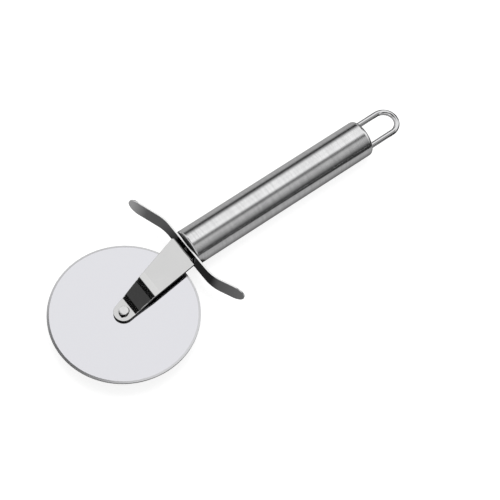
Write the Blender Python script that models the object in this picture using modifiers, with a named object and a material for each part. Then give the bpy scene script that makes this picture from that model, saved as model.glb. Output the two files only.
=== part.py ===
"""Pizza cutter lying on its side: a steel wheel riveted to one cranked arm, with a bent
finger guard, a tube handle and a wire loop to hang it by.

The design is laid out about the wheel's centre. X runs along the handle, Y across it in the
wheel's plane and Z along the axle. An empty then carries every piece, so that the finished
part stands on Z = 0 over the middle of its box.
"""

import math

import bmesh
import bpy
from mathutils import Matrix, Vector

MM = 0.001

# Wheel
WHEEL_DIAMETER = 65.0 * MM
WHEEL_THICKNESS = 0.9 * MM
GRIND_WIDTH = 1.6 * MM
EDGE_THICKNESS = 0.2 * MM

# Clearances
SEAT_GAP = 0.3 * MM
RUNNING_GAP = 0.1 * MM

# Axle rivet
RIVET_SHANK_DIAMETER = 3.4 * MM
RIVET_HEAD_DIAMETER = 5.0 * MM
RIVET_HEAD_FACE_DIAMETER = 3.9 * MM
RIVET_HEAD_HEIGHT = 1.1 * MM
RIVET_EDGE = 0.15 * MM

# Washer behind the wheel
WASHER_DIAMETER = 9.0 * MM
WASHER_THICKNESS = 0.6 * MM

# Wheel arm, one strip folded at the tab, at the ramp and at the flange
ARM_THICKNESS = 1.0 * MM
TAB_GAP = 0.3 * MM
TAB_RADIUS = 4.4 * MM
TAB_FOLD_X = 3.3 * MM
ARM_FOLD_X = 14.6 * MM
ARM_FACE_Z = 3.3 * MM
ARM_UPPER_SLOPE = 0.310
ARM_LOWER_SLOPE = 0.122
FOLD_RADIUS = 6.0 * MM
FLANGE_PAST_RIM = 6.0 * MM
PLATE_END_TO_FLANGE = 2.2 * MM
FLANGE_BEND_RADIUS = 1.5 * MM
FLANGE_WIDTH = 12.4 * MM
FLANGE_END_Z = -4.0 * MM

# Finger guard, a bent strip with round ends
GUARD_THICKNESS = 0.8 * MM
GUARD_WIDTH = 10.0 * MM
GUARD_UPPER_TIP_Y = 43.0 * MM
GUARD_UPPER_BEND_Y = 24.9 * MM
GUARD_UPPER_SET = 6.3 * MM
GUARD_LOWER_TIP_Y = -23.6 * MM
GUARD_LOWER_BEND_Y = -9.5 * MM
GUARD_LOWER_SET = 6.7 * MM
GUARD_BEND_RADIUS = 20.0 * MM
GUARD_BLANK_SHARE = 0.1

# Handle
HANDLE_AXIS_Y = 9.4 * MM
TUBE_DIAMETER = 17.0 * MM
TUBE_WALL = 0.7 * MM
TUBE_TO_GUARD_GAP = 0.5 * MM
TUBE_LENGTH = 96.3 * MM
TUBE_END_RADIUS = 2.0 * MM
TUBE_END_DOME = 0.3 * MM
TUBE_DOME_SHARES = (0.35, 0.7)
TUBE_LIP_RADIUS = 1.2 * MM
TUBE_MOUTH_DIAMETER = 13.8 * MM

# Pieces inside the handle
PLUG_LENGTH = 12.0 * MM
PLUG_EDGE = 0.4 * MM
ANCHOR_LENGTH = 12.0 * MM
ANCHOR_HOLE_DEPTH = 9.0 * MM

# Fixing screw and nut
SCREW_DIAMETER = 2.5 * MM
SCREW_HEAD_DIAMETER = 3.8 * MM
SCREW_HEAD_HEIGHT = 1.6 * MM
SCREW_EDGE = 0.2 * MM
SCREW_SLOT_WIDTH = 0.6 * MM
SCREW_SLOT_DEPTH = 0.7 * MM
SCREW_LENGTH = 14.2 * MM
NUT_ACROSS_FLATS = 5.0 * MM
NUT_THICKNESS = 2.0 * MM

# Hanging loop
WIRE_DIAMETER = 2.35 * MM
LOOP_LEG_SPACING = 11.8 * MM
LOOP_REACH = 18.9 * MM

# Smoothness of round shapes
WHEEL_SIDES = 96
TUBE_SIDES = 64
SMALL_SIDES = 40
WIRE_RESOLUTION = 4
BEND_STEPS = 24
TIP_STEPS = 20
FOLD_STEPS = 6
SHARP_DEGREES = 30

# Working sizes, for nothing that shows
EMPTY_SIZE = 10.0 * MM
TURNED_WELD = 0.01 * MM
CURVE_WELD = 0.001 * MM

wheel_radius = WHEEL_DIAMETER / 2
wheel_face_z = WHEEL_THICKNESS / 2
tab_inner_z = wheel_face_z + TAB_GAP
tab_face_z = tab_inner_z + ARM_THICKNESS
washer_face_z = -wheel_face_z - SEAT_GAP
flange_x = wheel_radius + FLANGE_PAST_RIM
plate_end_x = flange_x - PLATE_END_TO_FLANGE
screw_seat_x = flange_x - ARM_THICKNESS - SEAT_GAP
guard_x = flange_x + SEAT_GAP + GUARD_THICKNESS / 2
guard_back_x = guard_x + GUARD_THICKNESS / 2
plug_front_x = guard_back_x + SEAT_GAP
tube_near_x = guard_back_x + TUBE_TO_GUARD_GAP
tube_far_x = tube_near_x + TUBE_LENGTH
tube_bore_radius = TUBE_DIAMETER / 2 - TUBE_WALL
plug_radius = tube_bore_radius - SEAT_GAP
anchor_far_x = tube_far_x - TUBE_END_DOME - TUBE_WALL - SEAT_GAP
anchor_near_x = anchor_far_x - ANCHOR_LENGTH
wire_hole_radius = WIRE_DIAMETER / 2 + SEAT_GAP
loop_tip_x = tube_far_x + LOOP_REACH
loop_end_x = loop_tip_x - WIRE_DIAMETER / 2 - LOOP_LEG_SPACING / 2

wheel_centre = Vector((
    -(loop_tip_x - wheel_radius) / 2,
    -(GUARD_UPPER_TIP_Y - wheel_radius) / 2,
    TUBE_DIAMETER / 2,
))

ALONG_X = (0, math.pi / 2, 0)
SIDE_VIEW = (math.pi / 2, 0, 0)
END_VIEW = (math.pi / 2, 0, math.pi / 2)


def clear_scene():
    for item in list(bpy.data.objects):
        bpy.data.objects.remove(item, do_unlink=True)


def new_collection(name):
    collection = bpy.data.collections.new(name)
    bpy.context.scene.collection.children.link(collection)
    return collection


def new_material(name, colour, roughness, metallic):
    material = bpy.data.materials.new(name)
    material.use_nodes = True
    shader = material.node_tree.nodes["Principled BSDF"]
    shader.inputs["Base Color"].default_value = (*colour, 1.0)
    shader.inputs["Roughness"].default_value = roughness
    shader.inputs["Metallic"].default_value = metallic
    return material


def new_empty(name, location, parent=None):
    empty = bpy.data.objects.new(name, None)
    empty.empty_display_size = EMPTY_SIZE
    empty.location = location
    empty.parent = parent
    parts.objects.link(empty)
    return empty


def place(piece, location=(0, 0, 0), rotation=(0, 0, 0), parent=None):
    piece.location = location
    piece.rotation_euler = rotation
    piece.parent = parent or frame
    return piece


def finish(piece, material):
    """A visible piece gets its own material and smooth shading between sharp edges."""
    piece.data.materials.clear()
    piece.data.materials.append(material)
    piece.data.shade_smooth()
    piece.data.set_sharp_from_angle(angle=math.radians(SHARP_DEGREES))
    return piece


def as_cutter(piece):
    piece.hide_render = True
    piece.display_type = "WIRE"
    return piece


def turned(name, profile, sides, closed, collection):
    """Turns a profile of (radius, height) pairs about Z. It runs down the outer side."""
    mesh = bpy.data.meshes.new(name)
    points = [(radius, 0, height) for radius, height in profile]
    edges = [(i, i + 1) for i in range(len(points) - 1)]
    if closed:
        edges.append((len(points) - 1, 0))
    mesh.from_pydata(points, edges, [])
    piece = bpy.data.objects.new(name, mesh)
    collection.objects.link(piece)
    turn = piece.modifiers.new("turn", "SCREW")
    turn.angle = math.tau
    turn.steps = sides
    turn.render_steps = sides
    turn.use_merge_vertices = True
    turn.merge_threshold = TURNED_WELD
    return piece


def outline_slab(name, points, thickness, collection):
    """A flat outline with a thickness, centred on its own plane, as a welded mesh."""
    curve = bpy.data.curves.new(name, "CURVE")
    curve.dimensions = "2D"
    curve.fill_mode = "BOTH"
    curve.extrude = thickness / 2
    spline = curve.splines.new("POLY")
    spline.points.add(len(points) - 1)
    for point, (x, y) in zip(spline.points, points):
        point.co = (x, y, 0, 1)
    spline.use_cyclic_u = True
    return welded(name, curve, collection)


def welded(name, curve, collection):
    guide = bpy.data.objects.new(name + "_guide", curve)
    collection.objects.link(guide)
    bpy.context.view_layer.update()
    graph = bpy.context.evaluated_depsgraph_get()
    mesh = bpy.data.meshes.new_from_object(guide.evaluated_get(graph))
    bpy.data.objects.remove(guide, do_unlink=True)
    shape = bmesh.new()
    shape.from_mesh(mesh)
    bmesh.ops.remove_doubles(shape, verts=shape.verts, dist=CURVE_WELD)
    bmesh.ops.recalc_face_normals(shape, faces=shape.faces)
    shape.to_mesh(mesh)
    shape.free()
    mesh.name = name
    piece = bpy.data.objects.new(name, mesh)
    collection.objects.link(piece)
    return piece


def round_cutter(name, radius, length, sides=SMALL_SIDES):
    mesh = bpy.data.meshes.new(name)
    shape = bmesh.new()
    bmesh.ops.create_cone(
        shape, cap_ends=True, segments=sides, radius1=radius, radius2=radius, depth=length)
    shape.to_mesh(mesh)
    shape.free()
    piece = bpy.data.objects.new(name, mesh)
    cutters.objects.link(piece)
    return as_cutter(piece)


def box_cutter(name, size):
    mesh = bpy.data.meshes.new(name)
    shape = bmesh.new()
    bmesh.ops.create_cube(shape, size=1)
    bmesh.ops.scale(shape, vec=size, verts=shape.verts)
    shape.to_mesh(mesh)
    shape.free()
    piece = bpy.data.objects.new(name, mesh)
    cutters.objects.link(piece)
    return as_cutter(piece)


def boolean(piece, cutter, operation="DIFFERENCE"):
    step = piece.modifiers.new(cutter.name, "BOOLEAN")
    step.operation = operation
    step.object = cutter
    step.solver = "EXACT"


def arc(centre, radius, start, end, steps):
    """Points along an arc, with angles in degrees."""
    points = []
    for i in range(steps + 1):
        angle = math.radians(start + (end - start) * i / steps)
        points.append((centre[0] + radius * math.cos(angle), centre[1] + radius * math.sin(angle)))
    return points


def rounded_path(corners, radii, steps):
    """A path through the corners, each inner one replaced by an arc of its radius."""
    path = [Vector(corners[0])]
    for before, corner, after, radius in zip(corners, corners[1:], corners[2:], radii):
        corner = Vector(corner)
        back = (Vector(before) - corner).normalized()
        ahead = (Vector(after) - corner).normalized()
        half = back.angle(ahead) / 2
        middle = corner + (back + ahead).normalized() * radius / math.sin(half)
        start = corner + back * radius / math.tan(half) - middle
        end = corner + ahead * radius / math.tan(half) - middle
        sweep = start.angle_signed(end)
        for i in range(steps + 1):
            spoke = start.copy()
            spoke.rotate(Matrix.Rotation(-sweep * i / steps, 2))
            path.append(middle + spoke)
    path.append(Vector(corners[-1]))
    return path


def strip_outline(path, thickness):
    """The two sides of a strip that follows a path, as one closed outline."""
    left = []
    right = []
    for i, point in enumerate(path):
        ahead = (path[min(i + 1, len(path) - 1)] - point)
        behind = (point - path[max(i - 1, 0)])
        ahead = ahead.normalized() if ahead.length > 0 else behind.normalized()
        behind = behind.normalized() if behind.length > 0 else ahead
        along = (ahead + behind).normalized()
        across = Vector((-along.y, along.x))
        reach = thickness / 2 / max(along.dot(ahead), 0.5)
        left.append(point + across * reach)
        right.append(point - across * reach)
    return [tuple(point) for point in left + right[::-1]]


def make_wheel():
    rim = wheel_radius
    inner = RIVET_SHANK_DIAMETER / 2 + RUNNING_GAP
    shoulder = rim - GRIND_WIDTH
    edge = EDGE_THICKNESS / 2
    profile = [
        (inner, wheel_face_z), (shoulder, wheel_face_z), (rim, edge),
        (rim, -edge), (shoulder, -wheel_face_z), (inner, -wheel_face_z),
    ]
    wheel = turned("cutting_wheel", profile, WHEEL_SIDES, True, parts)
    place(wheel, parent=axle)
    return finish(wheel, new_material("wheel_steel", (0.82, 0.82, 0.85), 0.12, 1.0))


def make_axle_rivet():
    seat = tab_face_z + SEAT_GAP
    top = seat + RIVET_HEAD_HEIGHT
    shank = RIVET_SHANK_DIAMETER / 2
    head = RIVET_HEAD_DIAMETER / 2
    face = RIVET_HEAD_FACE_DIAMETER / 2
    back_seat = washer_face_z - WASHER_THICKNESS - SEAT_GAP
    back = back_seat - RIVET_HEAD_HEIGHT
    profile = [
        (0, top), (face - RIVET_EDGE, top), (face, top - RIVET_EDGE),
        (head, seat + RIVET_EDGE), (head, seat), (shank, seat),
        (shank, back_seat), (head, back_seat), (head, back_seat - RIVET_EDGE),
        (face, back + RIVET_EDGE), (face - RIVET_EDGE, back), (0, back),
    ]
    rivet = turned("axle_rivet", profile, SMALL_SIDES, False, parts)
    place(rivet)
    return finish(rivet, new_material("rivet_steel", (0.74, 0.74, 0.75), 0.3, 1.0))


def make_axle_washer():
    inner = RIVET_SHANK_DIAMETER / 2 + RUNNING_GAP
    outer = WASHER_DIAMETER / 2
    back = washer_face_z - WASHER_THICKNESS
    profile = [(inner, washer_face_z), (outer, washer_face_z), (outer, back), (inner, back)]
    washer = turned("axle_washer", profile, SMALL_SIDES, True, parts)
    place(washer)
    return finish(washer, new_material("washer_steel", (0.7, 0.7, 0.7), 0.35, 1.0))


def make_wheel_arm():
    middle_tab = tab_face_z - ARM_THICKNESS / 2
    middle_plate = ARM_FACE_Z - ARM_THICKNESS / 2
    middle_flange = flange_x - ARM_THICKNESS / 2
    corners = [
        (-2 * TAB_RADIUS, middle_tab), (TAB_FOLD_X, middle_tab),
        (ARM_FOLD_X, middle_plate), (middle_flange, middle_plate),
        (middle_flange, FLANGE_END_Z),
    ]
    path = rounded_path(corners, [FOLD_RADIUS, FOLD_RADIUS, FLANGE_BEND_RADIUS], FOLD_STEPS)
    arm = outline_slab("wheel_arm", strip_outline(path, ARM_THICKNESS), WHEEL_DIAMETER, parts)
    place(arm, rotation=SIDE_VIEW)

    top_angle = math.degrees(math.atan(ARM_UPPER_SLOPE)) + 90
    low_angle = math.degrees(math.atan(ARM_LOWER_SLOPE)) + 270
    round_end = arc((0, 0), TAB_RADIUS, top_angle, low_angle, BEND_STEPS)
    low_y = round_end[-1][1] + ARM_LOWER_SLOPE * (plate_end_x - round_end[-1][0])
    top_y = round_end[0][1] + ARM_UPPER_SLOPE * (plate_end_x - round_end[0][0])
    flange_end = flange_x + ARM_THICKNESS
    flange_low = HANDLE_AXIS_Y - FLANGE_WIDTH / 2
    flange_top = HANDLE_AXIS_Y + FLANGE_WIDTH / 2
    plan = round_end + [
        (plate_end_x, low_y), (plate_end_x, flange_low), (flange_end, flange_low),
        (flange_end, flange_top), (plate_end_x, flange_top), (plate_end_x, top_y),
    ]
    plan_depth = 4 * (ARM_FACE_Z - FLANGE_END_Z)
    plan_cutter = as_cutter(outline_slab("arm_plan", plan, plan_depth, cutters))
    place(plan_cutter)
    boolean(arm, plan_cutter, "INTERSECT")

    axle_hole = round_cutter("axle_hole", RIVET_SHANK_DIAMETER / 2 + SEAT_GAP, 4 * tab_face_z)
    place(axle_hole)
    boolean(arm, axle_hole)
    boolean(arm, screw_hole)
    return finish(arm, new_material("arm_steel", (0.68, 0.68, 0.69), 0.34, 1.0))


def make_finger_guard():
    corners = [
        (guard_x - GUARD_UPPER_SET, GUARD_UPPER_TIP_Y),
        (guard_x, GUARD_UPPER_BEND_Y),
        (guard_x, GUARD_LOWER_BEND_Y),
        (guard_x + GUARD_LOWER_SET, GUARD_LOWER_TIP_Y),
    ]
    first = Vector(corners[0]).lerp(Vector(corners[1]), -GUARD_BLANK_SHARE)
    last = Vector(corners[3]).lerp(Vector(corners[2]), -GUARD_BLANK_SHARE)
    blank = [tuple(first), *corners[1:3], tuple(last)]
    path = rounded_path(blank, [GUARD_BEND_RADIUS] * 2, FOLD_STEPS + 2)
    guard = outline_slab("finger_guard", strip_outline(path, GUARD_THICKNESS), GUARD_WIDTH, parts)
    place(guard)

    radius = GUARD_WIDTH / 2
    upper = arc((GUARD_UPPER_TIP_Y - radius, 0), radius, -90, 90, TIP_STEPS)
    lower = arc((GUARD_LOWER_TIP_Y + radius, 0), radius, 90, 270, TIP_STEPS)
    ends_depth = 2 * (GUARD_UPPER_SET + GUARD_LOWER_SET)
    ends = as_cutter(outline_slab("guard_ends", upper + lower, ends_depth, cutters))
    place(ends, location=(guard_x, 0, 0), rotation=END_VIEW)
    boolean(guard, ends, "INTERSECT")
    boolean(guard, screw_hole)
    return finish(guard, new_material("guard_steel", (0.55, 0.55, 0.56), 0.3, 1.0))


def make_fixing_screw():
    """Turned about its own Z, which points at the handle's far end once it is placed."""
    head = SCREW_HEAD_DIAMETER / 2
    shank = SCREW_DIAMETER / 2
    profile = [
        (0, SCREW_LENGTH), (shank - SCREW_EDGE, SCREW_LENGTH), (shank, SCREW_LENGTH - SCREW_EDGE),
        (shank, 0), (head, 0), (head, -SCREW_HEAD_HEIGHT + SCREW_EDGE),
        (head - SCREW_EDGE, -SCREW_HEAD_HEIGHT), (0, -SCREW_HEAD_HEIGHT),
    ]
    screw = turned("fixing_screw", profile, SMALL_SIDES, False, parts)
    place(screw, location=(screw_seat_x, HANDLE_AXIS_Y, 0), rotation=ALONG_X)
    slot = box_cutter("screw_slot", (SCREW_HEAD_DIAMETER * 2, SCREW_SLOT_WIDTH, 2 * SCREW_SLOT_DEPTH))
    place(slot, location=(screw_seat_x - SCREW_HEAD_HEIGHT, HANDLE_AXIS_Y, 0), rotation=ALONG_X)
    boolean(screw, slot)
    return finish(screw, new_material("screw_steel", (0.6, 0.6, 0.6), 0.35, 1.0))


def make_front_plug():
    """Its boss fills the tube's mouth, and its body fits the bore behind the lip."""
    hole = SCREW_DIAMETER / 2 + SEAT_GAP
    boss = TUBE_MOUTH_DIAMETER / 2 - SEAT_GAP
    body_start = tube_near_x + TUBE_LIP_RADIUS + SEAT_GAP - plug_front_x
    profile = [
        (hole, PLUG_LENGTH), (plug_radius - PLUG_EDGE, PLUG_LENGTH),
        (plug_radius, PLUG_LENGTH - PLUG_EDGE), (plug_radius, body_start), (boss, body_start),
        (boss, 0), (hole, 0),
    ]
    plug = turned("front_plug", profile, TUBE_SIDES, True, parts)
    place(plug, location=(plug_front_x, HANDLE_AXIS_Y, 0), rotation=ALONG_X)
    depth = NUT_THICKNESS + 2 * SEAT_GAP
    radius = (NUT_ACROSS_FLATS / 2 + SEAT_GAP) / math.cos(math.pi / 6)
    pocket = round_cutter("nut_pocket", radius, 2 * depth, 6)
    place(pocket, location=(plug_front_x + PLUG_LENGTH, HANDLE_AXIS_Y, 0), rotation=ALONG_X)
    boolean(plug, pocket)
    return finish(plug, new_material("plug_plastic", (0.02, 0.02, 0.02), 0.45, 0.0))


def make_lock_nut():
    radius = NUT_ACROSS_FLATS / 2 / math.cos(math.pi / 6)
    mesh = bpy.data.meshes.new("lock_nut")
    shape = bmesh.new()
    bmesh.ops.create_cone(
        shape, cap_ends=True, segments=6, radius1=radius, radius2=radius, depth=NUT_THICKNESS)
    shape.to_mesh(mesh)
    shape.free()
    nut = bpy.data.objects.new("lock_nut", mesh)
    parts.objects.link(nut)
    centre_x = plug_front_x + PLUG_LENGTH - SEAT_GAP - NUT_THICKNESS / 2
    place(nut, location=(centre_x, HANDLE_AXIS_Y, 0), rotation=ALONG_X)
    thread = round_cutter("nut_thread", SCREW_DIAMETER / 2 + RUNNING_GAP, 3 * NUT_THICKNESS)
    place(thread, location=(centre_x, HANDLE_AXIS_Y, 0), rotation=ALONG_X)
    boolean(nut, thread)
    return finish(nut, new_material("nut_steel", (0.6, 0.6, 0.6), 0.4, 1.0))


def tube_end(outer_radius, far, corner, dome, steps):
    """The closed end of the tube, from its middle out to its side, seen in (radius, height)."""
    points = [(0, far)]
    flat = outer_radius - corner
    for share in TUBE_DOME_SHARES:
        points.append((flat * share, far - dome * share ** 2))
    side = arc((flat, far - dome - corner), corner, 90, 0, steps)
    return points + side


def make_handle_tube():
    """Turned about its own Z, which runs from the mouth to the closed far end."""
    outer = TUBE_DIAMETER / 2
    mouth = TUBE_MOUTH_DIAMETER / 2
    lip = TUBE_LIP_RADIUS
    lip_centre = (outer - lip, lip)
    outside = tube_end(outer, TUBE_LENGTH, TUBE_END_RADIUS, TUBE_END_DOME, FOLD_STEPS)
    lip_outside = arc(lip_centre, lip, 0, -90, FOLD_STEPS - 1)
    lip_inside = arc(lip_centre, lip - TUBE_WALL, -90, 0, FOLD_STEPS // 2)
    inner_end = TUBE_LENGTH - TUBE_WALL
    inner_corner = TUBE_END_RADIUS - TUBE_WALL
    inside = tube_end(tube_bore_radius, inner_end, inner_corner, TUBE_END_DOME, FOLD_STEPS)
    rim = [(mouth, 0), (mouth, TUBE_WALL)]
    profile = outside + lip_outside + rim + lip_inside + inside[::-1]
    tube = turned("handle_tube", profile, TUBE_SIDES, False, parts)
    place(tube, location=(tube_near_x, HANDLE_AXIS_Y, 0), rotation=ALONG_X)
    for hole in wire_holes:
        boolean(tube, hole)
    return finish(tube, new_material("handle_steel", (0.6, 0.6, 0.61), 0.28, 1.0))


def make_loop_anchor():
    outer = plug_radius
    corner = TUBE_END_RADIUS - TUBE_WALL
    profile = [
        (0, ANCHOR_LENGTH - TUBE_END_DOME), *arc(
            (outer - corner, ANCHOR_LENGTH - TUBE_END_DOME - corner), corner, 90, 0, FOLD_STEPS - 1),
        (outer, PLUG_EDGE), (outer - PLUG_EDGE, 0), (0, 0),
    ]
    anchor = turned("loop_anchor", profile, TUBE_SIDES, False, parts)
    place(anchor, location=(anchor_near_x, HANDLE_AXIS_Y, 0), rotation=ALONG_X)
    for hole in wire_holes:
        boolean(anchor, hole)
    return finish(anchor, new_material("anchor_plastic", (0.03, 0.03, 0.03), 0.5, 0.0))


def make_hanging_loop():
    leg_end_x = anchor_far_x - ANCHOR_HOLE_DEPTH + SEAT_GAP
    half = LOOP_LEG_SPACING / 2
    bend = arc((loop_end_x, 0), half, -90, 90, BEND_STEPS)
    points = [(leg_end_x, -half)] + bend + [(leg_end_x, half)]
    curve = bpy.data.curves.new("hanging_loop", "CURVE")
    curve.dimensions = "3D"
    curve.bevel_depth = WIRE_DIAMETER / 2
    curve.bevel_resolution = WIRE_RESOLUTION
    curve.use_fill_caps = True
    spline = curve.splines.new("POLY")
    spline.points.add(len(points) - 1)
    for point, (x, y) in zip(spline.points, points):
        point.co = (x, y, 0, 1)
    loop = welded("hanging_loop", curve, parts)
    place(loop, location=(0, HANDLE_AXIS_Y, 0))
    return finish(loop, new_material("loop_steel", (0.8, 0.8, 0.81), 0.12, 1.0))


clear_scene()
parts = new_collection("pizza_cutter")
cutters = new_collection("cutters")
frame = new_empty("pizza_cutter_frame", wheel_centre)
axle = new_empty("wheel_axis", (0, 0, 0), frame)

stack_depth = ARM_THICKNESS + GUARD_THICKNESS + 2 * SEAT_GAP
screw_hole = round_cutter("screw_hole", SCREW_DIAMETER / 2 + SEAT_GAP, 2 * stack_depth)
place(screw_hole, location=(flange_x, HANDLE_AXIS_Y, 0), rotation=ALONG_X)

wire_holes = []
for side, name in ((-1, "lower_wire_hole"), (1, "upper_wire_hole")):
    leg_y = HANDLE_AXIS_Y + side * LOOP_LEG_SPACING / 2
    hole = round_cutter(name, wire_hole_radius, 2 * ANCHOR_HOLE_DEPTH)
    place(hole, location=(anchor_far_x, leg_y, 0), rotation=ALONG_X)
    wire_holes.append(hole)

make_wheel()
make_axle_rivet()
make_axle_washer()
make_wheel_arm()
make_finger_guard()
make_fixing_screw()
make_front_plug()
make_lock_nut()
make_handle_tube()
make_loop_anchor()
make_hanging_loop()
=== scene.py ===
"""Pizza cutter: the finished look of a steel wheel on a cranked arm, with a bent finger guard,
a brushed tube handle and a wire loop. Lengths are in metres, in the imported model's own frame.
"""
import math

import bmesh
import bpy
from mathutils import Matrix, Vector


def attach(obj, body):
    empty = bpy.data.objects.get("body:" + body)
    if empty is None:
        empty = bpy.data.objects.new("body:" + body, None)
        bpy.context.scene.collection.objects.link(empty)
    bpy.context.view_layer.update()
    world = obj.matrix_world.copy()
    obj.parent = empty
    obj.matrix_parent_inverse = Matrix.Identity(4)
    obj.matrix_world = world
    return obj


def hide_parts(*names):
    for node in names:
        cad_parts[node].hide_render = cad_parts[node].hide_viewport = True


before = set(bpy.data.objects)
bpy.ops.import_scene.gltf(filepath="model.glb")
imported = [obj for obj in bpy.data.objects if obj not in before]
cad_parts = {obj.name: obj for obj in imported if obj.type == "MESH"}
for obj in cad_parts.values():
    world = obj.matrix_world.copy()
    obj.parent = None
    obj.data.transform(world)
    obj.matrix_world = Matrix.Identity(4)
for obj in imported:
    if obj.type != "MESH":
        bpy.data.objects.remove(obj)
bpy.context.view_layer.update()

MM = 0.001

# Sizes of the solids, as the model's source gives them. The pieces are drawn from the wheel's
# centre: X runs along the handle, Y across it, and Z up from the ground side.
WHEEL_CENTRE = Vector((-61.4, -5.25, 8.5)) * MM
WHEEL_RADIUS = 32.5 * MM
WHEEL_THICKNESS = 0.9 * MM
SEAT_GAP = 0.3 * MM
RUNNING_GAP = 0.1 * MM
RIVET_SHANK_DIAMETER = 3.4 * MM
RIVET_HEAD_HEIGHT = 1.1 * MM
WASHER_DIAMETER = 9.0 * MM
WASHER_THICKNESS = 0.6 * MM
ARM_THICKNESS = 1.0 * MM
TAB_GAP = 0.3 * MM
TAB_RADIUS = 4.4 * MM
TAB_FOLD_X = 3.3 * MM
ARM_FOLD_X = 14.6 * MM
ARM_FACE_Z = 3.3 * MM
ARM_UPPER_SLOPE = 0.310
ARM_LOWER_SLOPE = 0.122
FOLD_RADIUS = 6.0 * MM
FLANGE_X = 38.5 * MM
FLANGE_BEND_RADIUS = 1.5 * MM
FLANGE_WIDTH = 12.4 * MM
FLANGE_END_Z = -4.0 * MM
GUARD_THICKNESS = 0.8 * MM
GUARD_WIDTH = 10.0 * MM
GUARD_UPPER_TIP_Y = 43.0 * MM
GUARD_UPPER_BEND_Y = 24.9 * MM
GUARD_UPPER_SET = 6.3 * MM
GUARD_LOWER_TIP_Y = -23.6 * MM
GUARD_LOWER_BEND_Y = -9.5 * MM
GUARD_LOWER_SET = 6.7 * MM
GUARD_BEND_RADIUS = 20.0 * MM
HANDLE_AXIS_Y = 9.4 * MM
TUBE_DIAMETER = 17.0 * MM
TUBE_WALL = 0.7 * MM
TUBE_NEAR_X = 40.1 * MM
TUBE_LENGTH = 96.3 * MM
TUBE_END_RADIUS = 2.0 * MM
TUBE_END_DOME = 0.3 * MM
SCREW_DIAMETER = 2.5 * MM
LOOP_TIP_X = 155.3 * MM
LOOP_LEG_START_X = 126.4 * MM

# Finer shape: where these differ from the solids, it is by a fraction of a millimetre
GROUND_WIDTH = 1.0 * MM
GROUND_FALL = 0.12 * MM
RIM_ROUND = 0.06 * MM
RIVET_FACE_RADIUS = 2.08 * MM
RIVET_FOOT_RADIUS = 2.2 * MM
RIVET_ROUND = 0.12 * MM
RIVET_CROWN = 0.01 * MM
WASHER_ROUND = 0.12 * MM
ARM_EDGE_ROUND = 0.10 * MM
RAMP_EASE = 2.3 * MM
RAMP_EASE_SHARE = 0.161
PLATE_END_X = 36.7 * MM
FLANGE_CORNER = 1.6 * MM
GUARD_EDGE_ROUND = 0.09 * MM
GUARD_TIP_TRIM = 0.12 * MM
TUBE_LIP_RADIUS = 0.55 * MM
TUBE_MOUTH_DIAMETER = 13.3 * MM
TUBE_END_WALL = 1.4 * MM
WIRE_DIAMETER = 2.5 * MM
WIRE_HOLE_RADIUS = 1.32 * MM
LOOP_LEG_SPACING = 11.65 * MM

# How finely the shapes are divided
WHEEL_SIDES = 288
TUBE_SIDES = 160
SMALL_SIDES = 72
WIRE_SIDES = 36
AXLE_HOLE_SIDES = 40
SCREW_HOLE_SIDES = 32
WIRE_HOLE_SIDES = 40
ROUND_STEPS = 5
RIM_STEPS = 4
LIP_STEPS = 10
TUBE_END_STEPS = 12
DOME_SHARES = (0.25, 0.5, 0.75, 0.9)
OUTLINE_STEPS = 40
LEG_STEPS = 12
BEND_STEPS = 64
SHEET_EDGE_STEPS = 2
FOLD_STEP_DEGREES = 2.5
LEAST_FOLD_STEPS = 4
SEARCH_STEPS = 50
WELD = 0.001 * MM

# Angles in degrees between faces, over which an edge shows as a sharp one
SHEET_CREASE = 30
GROUND_CREASE = 5
TURNED_CREASE = 40

# A sheet's face belongs to its edge where its direction leans this little to the sheet's own
# The arm's edge faces that lean less than this take its painted shade
SHADED_EDGE_LEAN = 0.75
FLANGE_SIDE_LEAN = 0.35
GUARD_EDGE_LEAN = 0.3
AXLE_HOLE_ZONE = 0.9 * TAB_RADIUS

# Marks in the finishes: places, soft borders, and the depths that bumps stand for
GROUND_BORDER = 0.08 * MM
# The strip of painted sheen beside the upper fold, and the bump ridge with its painted highlight
# at its far border
SHEEN_STRIP_START = 0.3 * MM
SHEEN_STRIP_WIDTH = 2.7 * MM
SHEEN_STRIP_BORDER = 0.2 * MM
RIDGE_AND_SHEEN_BORDER = 0.3 * MM
BURR_START = 0.24 * MM
BURR_END = 0.38 * MM
BURR_BORDER = 0.08 * MM
BURR_FADE = 1.0 * MM
RIVET_FACE_BORDER = 0.06 * MM
SCRATCH_DEPTH = 0.02 * MM
PIT_DEPTH = 0.03 * MM

# Shader values that are the same all over a piece
STEEL = {"Metallic": 1.0}
BRUSHED_STEEL = {"Metallic": 1.0, "Anisotropic": 0.75, "Anisotropic Rotation": 0.25}
PLASTIC = {"Metallic": 0.0}

# The studio: floor, lamp and camera
FLOOR_REACH = 4.0
FLOOR_WHITE = 0.80
LAMP_SIZE = (1.2, 0.9)
LAMP_POWER = 6.0
LAMP_PLACE = (0.3, 0.4, 1.3)
CAMERA_SENSOR = 36.0
CAMERA_LENS = 143.06
CAMERA_CLIP = (0.05, 20.0)
CAMERA_PLACE = (-0.26061, -0.32649, 0.7590)
CAMERA_TURN = (
    (0.7998, 0.5171, -0.3050), (-0.5997, 0.7106, -0.3679), (0.0265, 0.4772, 0.8784))

# Light of the open tent, by the angle round the handle: 0 is the horizon beyond it, 90 overhead
TENT_STRENGTH = 1.22
TENT_STOPS = [
    (0, 0.42), (15, 0.60), (40, 0.85), (75, 1.0), (105, 1.0), (140, 0.80), (165, 0.55),
    (180, 0.40),
]
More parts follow.
